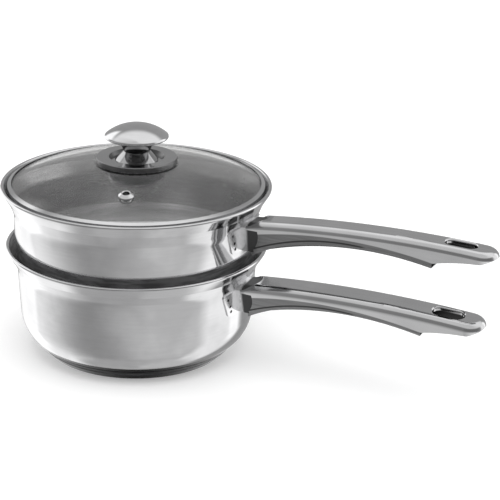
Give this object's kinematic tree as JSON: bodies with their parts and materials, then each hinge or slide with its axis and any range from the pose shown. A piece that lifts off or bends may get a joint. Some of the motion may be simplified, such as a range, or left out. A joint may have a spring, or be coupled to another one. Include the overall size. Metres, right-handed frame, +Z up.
{
  "type": "double boiler",
  "caption": "Polished steel double boiler: a long-handled pan with a sandwich base, a plug-in insert with its own long handle, and a domed glass lid with a knob.",
  "frame": {"origin": "centre of the underside of the pan's base, on the pan's axis", "axes": "+Z up along the pan's axis, +X along the pan's handle"},
  "size_m": [0.3814, 0.201, 0.1737],
  "materials": {
    "body_steel": "mirror polished",
    "trim_steel": "mirror polished",
    "liner_steel": "satin",
    "screw_steel": "satin",
    "core_aluminium": "turned",
    "clear_glass": "clear tempered",
    "dark_plastic": "matte",
    "seal_rubber": "matte"
  },
  "bodies": {
    "pan": {"pan_body": "body_steel", "pan_base_core": "core_aluminium", "pan_base_cap": "body_steel", "pan_handle_bracket": "body_steel", "pan_handle_shell": "body_steel", "pan_handle_liner": "liner_steel"},
    "insert": {"insert_body": "body_steel", "insert_handle_bracket": "body_steel", "insert_handle_shell": "body_steel", "insert_handle_liner": "liner_steel"},
    "lid": {"lid_glass": "clear_glass", "lid_rim": "trim_steel", "vent_grommet": "trim_steel", "knob_cap": "trim_steel", "knob_neck": "trim_steel", "knob_foot": "trim_steel", "knob_core": "dark_plastic", "knob_rosette": "trim_steel", "rosette_gasket": "seal_rubber", "glass_bush": "seal_rubber", "under_washer": "dark_plastic", "knob_screw": "screw_steel"}
  },
  "joints": [
    {"name": "insert_lift", "type": "slide", "parent": "pan", "child": "insert", "axis": [0, 0, 1], "range_m": [0, 0.13]},
    {"name": "lid_lift", "type": "slide", "parent": "insert", "child": "lid", "axis": [0, 0, 1], "range_m": [0, 0.1]}
  ]
}
